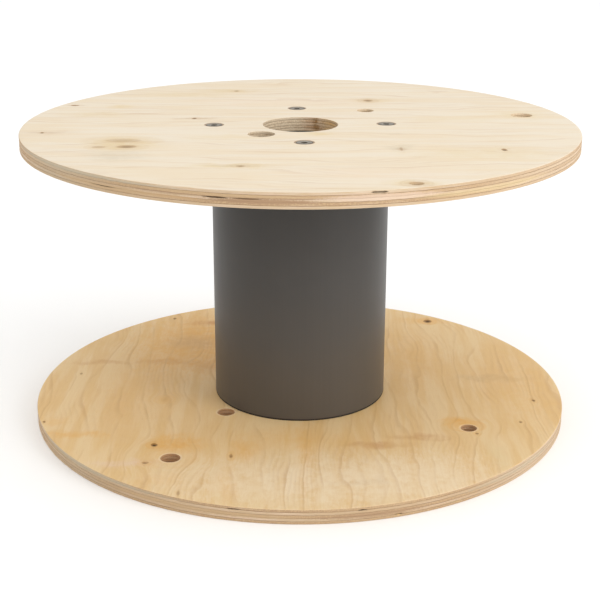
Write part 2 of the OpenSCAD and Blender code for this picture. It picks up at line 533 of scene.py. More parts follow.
def circle_reach(shader, plane, middle, radius, wider=0.0):
    """Distance from the middle of a circle in metres, counted in its radius. wider is in millimetres."""
    size = radius / MM + wider
    return reach_of(shader, plane, (middle[0] / MM, middle[1] / MM), (size, size))


def knot_marks(shader, plane, knots, along_y):
    """Masks of all knots, and how far they push the growth rings aside.

    plane holds (along, across) in millimetres.
    """
    body = core = rim = streak = push = 0.0
    across = shader.split(plane)[1]
    for knot in knots:
        place = (knot.y, knot.x) if along_y else (knot.x, knot.y)
        reach = reach_of(shader, plane, place, (knot.along, knot.across))
        if knot.dark:
            cover = 0.2 + 0.8 * knot.dark
            outline = reach.ease(1.25, 1.02) * reach.ease(0.75, 0.98) * (0.5 * cover)
            body = (reach.ease(1.15, 0.8, 0.0, 0.8 * cover) + outline).most(body)
            core = reach.ease(1.05, 0.2, 0.0, knot.dark).most(core)
        ring = reach.ease(1.9, 2.25) * reach.ease(2.75, 2.4) * (0.55 * knot.halo)
        rim = (reach.ease(2.7, 0.9, 0.0, knot.halo) + ring).most(rim)
        if knot.tail:
            run = reach_of(shader, plane, place, (knot.tail + knot.along, knot.across * 1.1))
            streak = run.ease(1.0, 0.1, 0.0, 0.35 + 0.4 * knot.dark).most(streak)
        push = (across - place[1]) * reach.ease(5.5, 0.6, 0.0, 0.62) + push
    return KnotMarks(body, core, rim, streak, push)


def stain_colour(shader, base, plane, stains, look, ragged, breakup=1.0):
    """The base colour with soft, ragged patches over it. plane holds (x, y) in millimetres."""
    for stain in stains:
        reach = reach_of(shader, plane, (stain.x, stain.y), (stain.wide, stain.deep))
        mask = (reach + ragged).ease(1.15, 0.1, 0.0, stain.strength) * breakup
        base = shader.blend(mask, base, getattr(look, stain.tint))
    return base


class Plywood(Shader):
    """Plywood sheet: veneer figure on its faces and plies on every cut edge."""

    def __init__(self, name, look, sheet):
        super().__init__(name)
        self.look = look
        self.sheet = sheet
        self.place = self.place_in_mm()
        self.x, self.y, z = self.split(self.place)
        height = (z - sheet.low / MM) * (PLIES * MM / sheet.thick)

        # The lower face is another veneer: the same figure turned half round.
        turned = height.ease(PLIES / 2 - 0.1, PLIES / 2 + 0.1, -1.0, 1.0)
        self.face_x = self.x * turned
        self.face_y = self.y * turned
        along, across = (self.face_y, self.face_x) if sheet.along_y else (self.face_x, self.face_y)

        # Slow wander of the grain, so that nothing on the face is drawn with a ruler.
        self.straight = self.join(along, across, z)
        wander = self.grain(self.straight, (150, 46, 60), 2.0, 0.5) - 0.5
        self.ripple = self.grain(self.straight, (16, 7, 30), 2.0, 0.5) - 0.5
        veneer = self.join(along + self.ripple * 3.0, across + self.ripple * 1.6)
        self.knots = knot_marks(self, veneer, sheet.knots, sheet.along_y)
        self.flow = across + wander * 14.0 + self.ripple * 1.6 - self.knots.push
        self.figure = self.join(along, self.flow, z)
        self.level = height + self.ripple * 0.3 + wander * 0.25

    def rings(self):
        """Masks of the growth rings' dark lines, and of the slow darkening towards each line.

        The rings are level lines of a stretched field.
        """
        swell = self.grain(self.figure, (190, 62, 90), 2.0, 0.42)
        jitter = self.grain(self.figure, (22, 16, 40), 1.0, 0.5)
        field = self.flow * (1 / self.sheet.ring_step) + swell * 3.4 + jitter * 0.16
        ring = field.fraction()
        line = ring.ease(0.80, 0.95) * ring.ease(1.0, 0.96)
        shade = ring.ease(0.1, 0.9) * ring.ease(1.0, 0.93)
        presence = self.grain(self.figure, (90, 24, 60), 2.0, 0.6).ease(0.34, 0.62)
        thin = (field * 4.0).fraction()
        hairline = thin.ease(0.3, 0.8) * thin.ease(1.0, 0.85)
        dense = self.grain(self.figure, (80, 36, 60), 2.0, 0.5).ease(0.42, 0.66)
        return line * (presence * 0.9 + 0.03) + hairline * dense * 0.5, shade * presence

    def face(self, fibre, stain_x, stain_y):
        """Colour and relief of a veneer face: bands, stains with painted shade and light among them,
        rings, fibres, knots, and grime and painted shade round the screw heads.
        """
        look, sheet, knots = self.look, self.sheet, self.knots
        band = self.grain(self.figure, (170, 15, 90), 3.0, 0.55).ease(0.40, 0.60)
        cloud = self.grain(self.place, (52, 52, 60), 3.0, 0.6)
        face = self.blend(band * 0.7 + (cloud - 0.5), sheet.pale, sheet.warm)

        patchy = self.grain(self.place, (9, 9, 20), 3.0, 0.65).ease(0.3, 0.62, 0.55, 1.0)
        torn = (self.grain(self.figure, (9, 2.6, 20), 3.0, 0.7) - 0.5) * 0.9
        plane = self.join(self.face_x + stain_x, self.face_y + stain_y)
        face = stain_colour(self, face, plane, sheet.stains, look, torn, patchy)

        late, shade = self.rings()
        fleck = self.grain(self.figure, (5.5, 0.8, 8), 1.0, 0.5).ease(0.68, 0.80)
        hair = self.grain(self.figure, (7, 0.32, 5), 2.0, 0.5)
        face = self.blend(shade * sheet.ring_dark * 1.1, face, sheet.warm)
        face = self.blend(late * sheet.ring_dark, face, look.late_wood)
        face = self.blend(fleck * 0.14, face, look.knot_rim)
        face = self.streaks(face, 0.30, fibre, (0.34, 0.32, 0.30), (0.66, 0.68, 0.70))
        face = self.streaks(face, 0.16, hair, (0.30, 0.29, 0.28), (0.70, 0.71, 0.72))

        ragged = self.grain(self.straight, (2.6, 1.1, 4), 2.0, 0.6)
        face = self.blend(knots.streak * ragged.ease(0.25, 0.7, 0.2, 0.7), face, look.knot_rim)
        face = self.blend(knots.rim * ragged.ease(0.2, 0.7, 0.25, 0.75), face, sheet.halo)
        face = self.blend(knots.body * ragged.ease(0.1, 0.6, 0.7, 1.0), face, look.knot_rim)
        face = self.blend(knots.core, face, look.knot_core)

        uneven = self.join(self.x + self.ripple * 1.5, self.y)
        for middle, radius in sheet.fresh_holes:
            broken = circle_reach(self, uneven, middle, radius, 1.5)
            face = self.blend(broken.ease(1.08, 0.98, 0.0, 0.28), face, look.fresh)
        # Grime and painted shade: a dark ring on the wood round each screw head, for the gap round it,
        # in the glue line's colour.
        for middle, radius in sheet.heads:
            grime_and_painted_shade = circle_reach(self, self.place, middle, radius)
            face = self.blend(grime_and_painted_shade.ease(1.26, 1.12, 0.0, 0.85), face, look.glue)
        return face, fibre * 0.55 + hair * 0.25 + late * 0.2 - knots.core * 1.0

    def edge(self, face_x, face_y, stain_x, stain_y):
        """Colour and relief of a cut edge. face_x and face_y tell which way it faces."""
        look, sheet, level = self.look, self.sheet, self.level

        # The plies cross, so each shows side grain or end grain by the way the edge faces.
        ply = level.floor()
        crossing = abs(ply - 2.0 * (ply * 0.5).floor())
        cut_long, cut_cross = (face_y, face_x) if sheet.along_y else (face_x, face_y)
        ended = (cut_long * (1 - crossing) + cut_cross * crossing).ease(0.25, 0.85)
        lines = self.grain(self.place, (18, 18, 0.42), 3.0, 0.6)
        speck = self.grain(self.place, (1.1, 1.1, 1.3), 2.0, 0.7)
        patch = self.grain(self.place, (30, 30, 2.4), 2.0, 0.5)
        side = self.blend(lines.ease(0.3, 0.7), look.tan, look.side_grain)
        side = self.blend(patch.ease(0.4, 0.75) * 0.4, side, look.pink)
        end = self.blend(speck.ease(0.32, 0.68), look.end_grain, look.tan)
        end = self.blend(patch.ease(0.5, 0.8) * 0.5, end, look.side_grain)
        tone = self.node(
            "ShaderNodeTexWhiteNoise", {"noise_dimensions": "1D"}, {"W": ply + sheet.low * 31.0})
        edge = self.blend(tone * 0.3, self.blend(ended, side, end), look.tan)

        from_axis = self.vector("LENGTH", self.join(self.x, self.y), output=1)
        on_wall = from_axis.ease(RIM_ZONE, HOLE_ZONE)
        cleaned = on_wall * sheet.wall_share * speck.ease(0.3, 0.7, 0.4, 1.0)
        edge = self.blend(cleaned, edge, sheet.wall_tone)
        plane = self.join(self.x + stain_x, self.y + stain_y)
        torn = (speck - 0.5) * 0.9
        edge = stain_colour(self, edge, plane, sheet.edge_stains, look, torn, crossing * 0.3 + 0.7)

        seam = abs((level + 0.5).fraction() - 0.5).ease(0.105, 0.03)
        inner = level.ease(0.3, 0.5) * level.ease(PLIES - 0.3, PLIES - 0.5)
        edge = self.blend(seam * inner * patch.ease(0.25, 0.7, 0.35, 0.95), edge, look.glue)

        turns = self.math("DEGREES", self.math("ARCTAN2", self.y, self.x)) * (1 / 360)
        on_rim = 1 - on_wall
        for mark in sheet.patches:
            reach = self.rim_reach(turns, mark) + (speck - 0.5) * 1.8
            mask = reach.ease(1.2, 0.3, 0.0, mark.strength)
            edge = self.blend(mask * on_rim, edge, getattr(look, mark.tint))
        # Painted shade in the core gaps: the knot core's dark colour laid over their pits.
        for mark in sheet.gaps:
            mask = self.rim_reach(turns, mark).ease(1.25, 0.6, 0.0, 0.85)
            edge = self.blend(mask * on_rim, edge, look.knot_core)
        top_ply = level.ease(PLIES - 0.7, PLIES - 0.35)
        edge = self.blend(self.knots.core * top_ply, edge, look.knot_core)
        return edge, lines * (1 - ended) + speck * ended - seam * 0.6

    def rim_reach(self, turns, mark):
        """Distance from a mark on the rim, counted in its half sizes, squared."""
        away = abs((turns - (mark.turn / 360 - 0.5)).fraction() - 0.5) * (360 / mark.reach)
        rise = abs(self.level - mark.level) * (1 / (mark.tall + 0.06))
        return away * away + rise * rise

    def made(self):
        """The finished material."""
        fibre = self.grain(self.figure, (22, 0.75, 9), 3.0, 0.62)
        elsewhere = self.vector("ADD", self.place, (170.0, 60.0, 0.0))
        stain_x = (self.grain(self.place, (30, 30, 40), 3.0, 0.6) - 0.5) * TEAR
        stain_y = (self.grain(elsewhere, (26, 26, 40), 3.0, 0.6) - 0.5) * TEAR
        facing = self.node("ShaderNodeNewGeometry", {}, {}, "Normal")
        face_x, face_y, face_z = (abs(part) for part in self.split(facing))
        face, relief = self.face(fibre, stain_x, stain_y)
        edge, cut = self.edge(face_x, face_y, stain_x, stain_y)

        # Only the two outer plies have a face: a level spot deeper down is part of a core gap.
        level = self.level
        outer_ply = level.ease(1.0, 0.85).most(level.ease(PLIES - 1.0, PLIES - 0.85))
        on_face = face_z.ease(0.55, 0.9) * outer_ply
        base = self.blend(on_face, edge, face)
        roughness = 0.56 + self.knots.core * 0.25 + (fibre - 0.5) * 0.16 + (1 - on_face) * 0.16
        self.surface.inputs["Specular IOR Level"].default_value = self.look.gloss
        bumps = relief * on_face + cut * (1 - on_face) * 2.0
        return self.finish(base, roughness, [(bumps, WOOD_BUMP)])


def tube_skin(look, low, high):
    """Satin dark grey tube between two heights: a faint drawn texture, rubbed places, dust and a painted
    warm reflection low down, painted shade high up, and painted contact shade at both ends.
    """
    shader = Shader("drum_tube_skin")
    place = shader.place_in_mm()
    height = shader.split(place)[2]
    drawn = shader.grain(place, (2.2, 2.2, 260), 3.0, 0.6)
    broad = shader.grain(place, (26, 26, 190), 2.0, 0.5)
    cloud = shader.grain(place, (60, 60, 45), 3.0, 0.6)
    pebble = shader.grain(place, (0.9, 0.9, 0.9), 2.0, 0.6)
    scratch = shader.grain(place, (5, 5, 0.5), 2.0, 0.6, 0.4).ease(0.69, 0.76)
    rubbed = shader.grain(place, (34, 34, 22), 3.0, 0.7).ease(0.55, 0.8)
    wander = (cloud - 0.5) * 60.0
    base = shader.blend(cloud.ease(0.3, 0.7, 0.0, 0.2), look.skin, look.scuff)
    # Dust and a painted warm reflection of the bottom flange: the lower part is lighter and warmer.
    base = shader.blend((height + wander).ease(150.0, 30.0, 0.0, 0.8), base, look.dust_and_reflection)
    # Painted shade: the upper part darkens towards the top flange.
    upper = (height + wander * 0.3).ease(120.0, high / MM, 0.0, 0.75)
    base = shader.blend(upper, base, look.shade)
    base = shader.streaks(base, 0.12, drawn, (0.3, 0.3, 0.3), (0.7, 0.7, 0.7))
    base = shader.blend(scratch * rubbed * 0.35, base, look.scuff)
    # Painted contact shade: a dark band at each end, where the tube meets a flange.
    near_foot = height.ease(low / MM + 2.2, low / MM + 0.9)
    near_end = near_foot.most(height.ease(high / MM - 2.5, high / MM - 0.8))
    base = shader.blend(near_end * 0.9, base, look.end_painted_shade)
    shader.surface.inputs["Specular IOR Level"].default_value = look.gloss
    roughness = look.roughness + (cloud - 0.5) * 0.12 + (drawn - 0.5) * 0.08 + scratch * rubbed * 0.1
    roughness = roughness + near_end * 0.4
    return shader.finish(base, roughness, [(broad, TUBE_BUMP), (pebble * 0.5 + drawn, FINE_BUMP)])


def screw_metal(look, heads):
    """Dull zinc plating with fine turning marks, worn patches, grime and painted shade round each head's
    edge, and painted shade in its socket.
    """
    shader = Shader("drum_screw_metal")
    place = shader.place_in_mm()
    patch = shader.grain(place, (3.5, 3.5, 3.5), 3.0, 0.65)
    grit = shader.grain(place, (0.35, 0.35, 0.35), 2.0, 0.6)
    base = shader.blend(patch.ease(0.35, 0.7, 0.0, 0.75), look.metal, look.soot)
    base = shader.streaks(base, 0.25, grit, (0.3, 0.3, 0.3), (0.7, 0.7, 0.7))
    # Grime and painted shade: a dark ring at the edge of each head, for the gap round it.
    inward = -1.0
    for middle, radius in heads:
        inward = (1 - circle_reach(shader, place, middle, radius)).most(inward)
    base = shader.blend(inward.ease(0.2, 0.07, 0.0, 0.8), base, look.grime_and_painted_shade)
    # Painted shade makes the sockets dark: what lies under the outer faces, as heights from the drum's
    # middle.
    face = cad_box[1][2] / 2 / MM
    from_middle = abs(shader.split(place)[2] - face)
    base = shader.blend(from_middle.ease(face - 0.25, face - 0.9, 0.0, 0.9), base, look.socket)
    shader.surface.inputs["Metallic"].default_value = 1.0
    roughness = 0.42 + (patch - 0.5) * 0.3 + (grit - 0.5) * 0.15
    return shader.finish(base, roughness, [(grit, FINE_BUMP), (patch, PLATING_BUMP)])


def studio_white(look):
    """Matt white floor with a trace of unevenness."""
    shader = Shader("studio_floor")
    cloud = shader.grain(shader.position, (0.7, 0.7, 0.7), 2.0, 0.5)
    base = shader.blend(cloud, look.floor, tuple(0.99 * part for part in look.floor))
    return shader.finish(base, 0.9 + cloud * 0.05)


# ---------------------------------------------------------------- meshes


def circle(middle, radius, count, turn=0.0):
    """Points of a circle as rows of x and y. radius may hold one value for each point."""
    angles = turn + np.arange(count) * (TURN / count)
    return np.column_stack((middle[0] + radius * np.cos(angles), middle[1] + radius * np.sin(angles)))


def at_height(points, z):
    """Rows of x and y as rows of x, y and z."""
    return np.column_stack((points, np.full(len(points), z)))


def noise_at(points, cell, seed=0.0):
    """Smooth noise from -1 to 1 at each point, with cells of the given sizes in metres."""
    return np.array([
        noise.noise((p[0] / cell[0] + seed, p[1] / cell[1], p[2] / cell[2])) for p in points])


def sanded(distance, radius):
    """How far a rounded edge lies back, at a distance from its corner."""
    rest = np.clip(1 - distance / radius, 0.0, 1.0)
    return radius * (1 - np.sqrt(1 - rest * rest))


class Shell:
    """Points and faces of one closed mesh, gathered part by part."""

    def __init__(self):
        self.points = []
        self.faces = []
        self.count = 0

    def add(self, points):
        """Adds points, and returns the number of the first."""
        start = self.count
        self.points.append(np.asarray(points, float))
        self.count += len(points)
        return start

    def wall(self, rings):
        """Joins closed rings of equal length, each to the next."""
        count = len(rings[0])
        start = self.add(np.concatenate(rings))
        here = np.arange(count)
        after = np.roll(here, -1)
        for row in range(len(rings) - 1):
            low = start + row * count
            high = low + count
            self.faces += np.column_stack((low + here, low + after, high + after, high + here)).tolist()

    def cap(self, ring, middle):
        """Closes a ring with a fan to its middle."""
        start = self.add(ring)
        tip = self.add([middle])
        count = len(ring)
        self.faces += [(start + i, start + (i + 1) % count, tip) for i in range(count)]

    def sheet(self, outline, holes, fill, surface):
        """Fills an outline round its holes with triangles, and lifts them to a surface.

        holes are (middle, radius, count). surface gives the heights of rows of x and y, and a mask
        that is 0 on the outlines, where the sheet has to meet its walls.
        """
        loops = [outline] + [circle(*hole) for hole in holes]
        edges = []
        start = 0
        for loop in loops:
            count = len(loop)
            edges += [(start + i, start + (i + 1) % count) for i in range(count)]
            start += count
        flat = np.concatenate(loops + [fill])
        found = geometry.delaunay_2d_cdt([Vector(point) for point in flat], edges, [], 0, 1e-8, True)
        points = np.array([tuple(point) for point in found[0]])
        free = np.array([min(source, default=start) >= start for source in found[3]])
        first = self.add(np.column_stack((points, surface(points, free))))
        triangles = np.array([tuple(face) for face in found[2]])
        centres = points[triangles].mean(axis=1)
        keep = np.ones(len(triangles), bool)
        for middle, radius, count in holes:
            away = np.hypot(centres[:, 0] - middle[0], centres[:, 1] - middle[1])
            keep &= away > radius * math.cos(math.pi / count)
        self.faces += (triangles[keep] + first).tolist()

    def build(self, name, crease=48.0):
        """Makes the object: doubles merged, faces outwards, smooth between its creases."""
        mesh = bpy.data.meshes.new(name)
        mesh.from_pydata(np.concatenate(self.points).tolist(), [], self.faces)
        made = bmesh.new()
        made.from_mesh(mesh)
        bmesh.ops.remove_doubles(made, verts=made.verts, dist=MERGE)
        bmesh.ops.recalc_face_normals(made, faces=made.faces)
        open_edges = [edge for edge in made.edges if len(edge.link_faces) != 2]
        if open_edges:
            raise RuntimeError(f"{name} has {len(open_edges)} edges that don't join two faces")
        made.to_mesh(mesh)
        made.free()
        mesh.shade_smooth()
        mesh.set_sharp_from_angle(angle=math.radians(crease))
        made_object = bpy.data.objects.new(name, mesh)
        bpy.context.scene.collection.objects.link(made_object)
        return made_object


def level_face(z):
    """Heights of a face that is flat."""
    return lambda points, free: np.full(len(points), z)


def declare(piece, material, nodes):
    """Gives a finished piece its material and its body, and hides the nodes that it stands for."""
    piece.data.materials.clear()
    piece.data.materials.append(material)
    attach(piece, BODY)
    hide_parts(*nodes)


# ---------------------------------------------------------------- flanges


def node_middle(name):
    """Middle of a node, seen from above."""
    low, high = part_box(name)
    return ((low.x + high.x) / 2, (low.y + high.y) / 2)


def bores(names):
    """The through holes of a flange as (middle, radius)."""
    return [(tuple(MOUNTS[name]["pos_m"][:2]), MOUNTS[name]["dims"]["r_mm"] * MM) for name in names]


def head_spots(names):
    """The heads of screws as (middle, radius)."""
    spots = []
    for name in names:
        low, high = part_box(name)
        spots.append((node_middle(name), (high.x - low.x) / 2))
    return spots


def ring_count(radius):
    """An even number of points for the wall of a hole of this radius."""
    return max(32, 2 * round(math.pi * radius / HOLE_STEP))


def wall_levels(thick, edge):
    """Heights over the lower face for the rings of a cut edge: rounded ends, and five rings a ply."""
    ply = thick / PLIES
    rounded = [edge * share for share in (0.0, 0.08, 0.25, 0.55, 1.0)]
    inner = [(k + share) * ply for k in range(PLIES) for share in (0.0, 0.06, 0.3, 0.5, 0.7, 0.94)]
    kept = [level for level in inner if 1.15 * edge < level < thick - 1.15 * edge]
    return np.array(rounded + kept + [thick - level for level in reversed(rounded)])


def cut_depth(points, level, thick, edge, gaps=()):
    """How far a cut edge lies back from its true surface, at points on one level."""
    ply = thick / PLIES
    share = level / ply
    seam = abs(share - round(share))
    depth = np.full(len(points), float(sanded(min(level, thick - level), edge)))
    if 0.5 < share < PLIES - 0.5:
        depth += SEAM_DEPTH * max(0.0, 1 - seam / SEAM_HALF)
        depth += SAW_DEPTH * (1 + noise_at(points, (0.006, 0.006, ply), 3.0 * math.floor(share)))
    turns = np.degrees(np.arctan2(points[:, 1], points[:, 0])) % 360
    for gap in gaps:
        away = np.abs((turns - gap.turn + 180) % 360 - 180) / gap.reach
        height = abs(share - gap.level) / gap.tall
        inside = np.clip(1 - away ** 2 - height ** 2, 0.0, 1.0)
        depth += gap.pit * MM * np.sqrt(inside)
    return depth


def cut_rings(middle, radius, low, thick, edge, outer, count, gaps=()):
    """Rings of a round cut edge from its lower face to its upper face."""
    rings = []
    for level in wall_levels(thick, edge):
        z = low + level
        true = at_height(circle(middle, radius, count), z)
        depth = cut_depth(true, level, thick, edge, gaps)
        rings.append(at_height(circle(middle, radius + (-depth if outer else depth), count), z))
    return rings


def knot_half(knot, along_y):
    """Half sizes of a knot in x and y, in millimetres."""
    return (knot.across, knot.along) if along_y else (knot.along, knot.across)


def knot_reach(points, knot, along_y):
    """Distance of rows of x and y from a knot, counted in its half sizes."""
    half = knot_half(knot, along_y)
    return np.hypot((points[:, 0] / MM - knot.x) / half[0], (points[:, 1] / MM - knot.y) / half[1])


def knot_points(knots, along_y):
    """Extra mesh points on rings round each knot, so that its pit has a clean outline."""
    points = []
    for knot in knots:
        half = knot_half(knot, along_y)
        points.append((knot.x * MM, knot.y * MM))
        for share in (0.4, 0.65, 0.85, 1.0, 1.15, 1.5):
            ring = circle((0.0, 0.0), MM * share, 20, share)
            points += [(knot.x * MM + a * half[0], knot.y * MM + b * half[1]) for a, b in ring]
    return np.array(points).reshape(-1, 2)


def face_fill(reach, step, holes, knots, along_y, seed):
    """Points inside a flange's face: a jittered grid, with rings round each hole and each knot."""
    rng = np.random.default_rng(seed)
    ticks = np.arange(-reach, reach, step)
    rows = np.arange(-reach, reach, step * math.sqrt(3) / 2)
    grid = np.array([(x + step / 2 * (row % 2), y) for row, y in enumerate(rows) for x in ticks])
    grid += rng.uniform(-0.18, 0.18, grid.shape) * step
    near_knot = np.zeros(len(grid), bool)
    for knot in knots:
        near_knot |= knot_reach(grid, knot, along_y) < 1.7
    rings = [
        circle(middle, radius + out, round(ring_count(radius) * share))
        for middle, radius in holes for out, share in HOLE_RINGS]
    points = np.concatenate([grid[~near_knot], knot_points(knots, along_y)] + rings)
    keep = np.hypot(points[:, 0], points[:, 1]) < reach - RIM_MARGIN
    for middle, radius in holes:
        away = np.hypot(points[:, 0] - middle[0], points[:, 1] - middle[1])
        keep &= away > radius + HOLE_MARGIN
    return points[keep]


def veneer_surface(z, inward, knots, along_y, seed):
    """Heights of a veneer face: a very slight washboard along the grain, and a pit at each knot."""
    cell = (0.011, 0.16, 1.0) if along_y else (0.16, 0.011, 1.0)

    def heights(points, free):
        flat = at_height(points, 0.0)
        depth = WASHBOARD * (1 + noise_at(flat, cell, seed)) * free
        for knot in knots:
            fall = np.clip((1.05 - knot_reach(points, knot, along_y)) / 0.45, 0.0, 1.0)
            depth += knot.pit * MM * fall * fall * (3 - 2 * fall) * free
        return z + inward * depth

    return heights


def recess_rings(middle, head_radius, head_thick, shank_radius, outer_z, inner_z, edge):
    """Rings of a screw's recess, from the outer face of the flange to its inner face."""
    inward = 1.0 if inner_z > outer_z else -1.0
    profile = (
        (head_radius + edge, 0.0), (head_radius + 0.3 * edge, 0.3 * edge), (head_radius, edge),
        (head_radius, 0.5 * head_thick), (head_radius, head_thick - edge / 2),
        (head_radius - edge / 2, head_thick), (0.6 * head_radius, head_thick),
        (shank_radius + edge / 2, head_thick), (shank_radius, head_thick + edge / 2))
    rings = [
        at_height(circle(middle, radius, RECESS_COUNT), outer_z + inward * depth)
        for radius, depth in profile]
    shank = circle(middle, shank_radius, RECESS_COUNT)
    middle_z = (outer_z + inward * head_thick + inner_z) / 2
    return rings + [at_height(shank, middle_z), at_height(shank, inner_z)]


def make_flange(name, node, hole_names, screws, faces_up, knots, gaps, along_y, seed):
    """Mesh of a flange, with its holes, screw recesses, ply edges and knots."""
    veneer = bpy.context.scene.drum_veneer
    screw = bpy.context.scene.drum_screws
    low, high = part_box(node)
    thick = high.z - low.z
    reach = (high.x - low.x) / 2
    edge = veneer.rim_round
    hole_edge = veneer.hole_round
    holes = bores(hole_names)
    heads = [middle for middle, radius in head_spots(screws)]
    head_radius = head_spots(screws)[0][1] + screw.head_gap
    shank_radius = screw.shank_radius + screw.head_gap
    outer_z, inner_z = (high.z, low.z) if faces_up else (low.z, high.z)

    shell = Shell()
    rim_count = 720
    shell.wall(cut_rings((0.0, 0.0), reach, low.z, thick, edge, True, rim_count, gaps))
    for middle, radius in holes:
        shell.wall(cut_rings(middle, radius, low.z, thick, hole_edge, False, ring_count(radius)))
    for middle in heads:
        shell.wall(recess_rings(
            middle, head_radius, screw.head_thick, shank_radius, outer_z, inner_z, hole_edge))

    outline = circle((0.0, 0.0), reach - edge, rim_count)
    through = [(middle, radius + hole_edge, ring_count(radius)) for middle, radius in holes]
    for z, size, shown in (
            (outer_z, head_radius + hole_edge, faces_up), (inner_z, shank_radius, not faces_up)):
        loops = through + [(middle, size, RECESS_COUNT) for middle in heads]
        plain = holes + [(middle, size) for middle in heads]
        marks = knots if shown else ()
        upward = z == high.z
        fill = face_fill(reach - edge, veneer.mesh_step, plain, marks, along_y, seed)
        surface = veneer_surface(z, -1.0 if upward else 1.0, marks, along_y, seed)
        shell.sheet(outline, loops, fill, surface)
    return shell.build(name)


class DRUM_OT_top_flange(bpy.types.Operator):
    """Make the pale top flange, its grain from side to side"""

    bl_idname = "drum.top_flange"
    bl_label = "Top flange"

    def execute(self, context):
        look = context.scene.drum_veneer
        low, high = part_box("flange_top")
        holes = ("arbor_hole", "drive_hole", "inner_cable_hole_top", "outer_cable_hole_top")
        piece = make_flange(
            "top_flange", "flange_top", holes, TOP_SCREWS, True, TOP_KNOTS, TOP_CORE_GAPS, False, 11)
        sheet = Sheet(
            pale=look.top_pale, warm=look.top_warm, halo=look.tan,
            low=low.z, thick=high.z - low.z, knots=TOP_KNOTS, stains=TOP_STAINS,
            edge_stains=TOP_EDGE_STAINS, patches=TOP_RIM_PATCHES, gaps=TOP_CORE_GAPS,
            fresh_holes=(), heads=head_spots(TOP_SCREWS), wall_tone=look.fresh, wall_share=0.85,
            ring_step=24.0, ring_dark=0.21, along_y=False)
        wood = Plywood("drum_plywood_pale", look, sheet).made()
        declare(piece, wood, ["flange_top"])
        return {"FINISHED"}


class DRUM_OT_bottom_flange(bpy.types.Operator):
    """Make the warm bottom flange, its grain from front to back"""

    bl_idname = "drum.bottom_flange"
    bl_label = "Bottom flange"

    def execute(self, context):
        look = context.scene.drum_veneer
        low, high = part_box("flange_bottom")
        holes = (
            "arbor_hole", "drive_hole", "inner_cable_hole_bottom", "wide_tie_hole", "narrow_tie_hole")
        piece = make_flange(
            "bottom_flange", "flange_bottom", holes, BOTTOM_SCREWS, False, BOTTOM_KNOTS,
            BOTTOM_CORE_GAPS, True, 23)
        sheet = Sheet(
            pale=look.bottom_pale, warm=look.bottom_warm, halo=look.amber,
            low=low.z, thick=high.z - low.z, knots=BOTTOM_KNOTS, stains=BOTTOM_STAINS_AND_PAINTED_LIGHT,
            edge_stains=BOTTOM_EDGE_STAINS, patches=BOTTOM_RIM_PATCHES, gaps=BOTTOM_CORE_GAPS,
            fresh_holes=bores(holes[2:]), heads=(), wall_tone=look.red, wall_share=0.6,
            ring_step=22.0, ring_dark=0.21, along_y=True)
        wood = Plywood("drum_plywood_warm", look, sheet).made()
        declare(piece, wood, ["flange_bottom"])
        return {"FINISHED"}


# ---------------------------------------------------------------- tube


class DRUM_OT_barrel(bpy.types.Operator):
    """Make the dark grey tube, with its pilot holes"""

    bl_idname = "drum.barrel"
    bl_label = "Tube"

    def execute(self, context):
        look = context.scene.drum_tube
        low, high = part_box("barrel")
        outside = (high.x - low.x) / 2
        pilots = [node_middle(name) for name in TOP_SCREWS]
        screw_circle = sum(math.hypot(*pilot) for pilot in pilots) / len(pilots)
        inside = 2 * screw_circle - outside
        edge = look.end_round
        count = 288
        steps = 60
        levels = [edge * share for share in (0.0, 0.1, 0.4, 1.0)]
        height = high.z - low.z
        inner = [edge + (height - 2 * edge) * i / steps for i in range(1, steps)]
        levels += inner + [height - level for level in reversed(levels)]
        shell = Shell()
        for radius, side in ((outside, -1.0), (inside, 1.0)):
            rings = []
            for level in levels:
                true = at_height(circle((0.0, 0.0), radius, count), low.z + level)
                back = float(sanded(min(level, height - level), edge))
                if edge < level < height - edge:
                    wave = noise_at(true, (0.05, 0.05, 0.12), 5.0 * side)
                    back = back + look.waviness / 2 * (1 + wave)
                rings.append(at_height(circle((0.0, 0.0), radius + side * back, count), low.z + level))
            shell.wall(rings)
        outline = circle((0.0, 0.0), outside - edge, count)
        hollow = ((0.0, 0.0), inside + edge, count)
        holes = [(pilot, look.pilot_radius, PILOT_COUNT) for pilot in pilots]
        for z, inward in ((low.z, 1.0), (high.z, -1.0)):
            shell.sheet(outline, [hollow] + holes, np.empty((0, 2)), level_face(z))
            for pilot in pilots:
                ring = circle(pilot, look.pilot_radius, PILOT_COUNT)
                deep = z + inward * look.pilot_depth
                shell.wall([at_height(ring, z), at_height(ring, (z + deep) / 2), at_height(ring, deep)])
                shell.cap(at_height(ring, deep), (*pilot, deep + inward * look.pilot_radius / 2))
        piece = shell.build("tube")
        declare(piece, tube_skin(look, low.z, high.z), ["barrel"])
        return {"FINISHED"}


# ---------------------------------------------------------------- screws


def hexagon(radius, count, soften):
    """A hexagon with softened corners, as rows of x and y."""
    angles = np.arange(count) * (TURN / count)
    from_flat = (angles % (TURN / 6)) - TURN / 12
    flat = radius * math.cos(math.pi / 6) / np.cos(from_flat)
    size = flat * (1 - soften) + radius * math.cos(math.pi / 6) * 1.04 * soften
    return np.column_stack((size * np.cos(angles), size * np.sin(angles)))


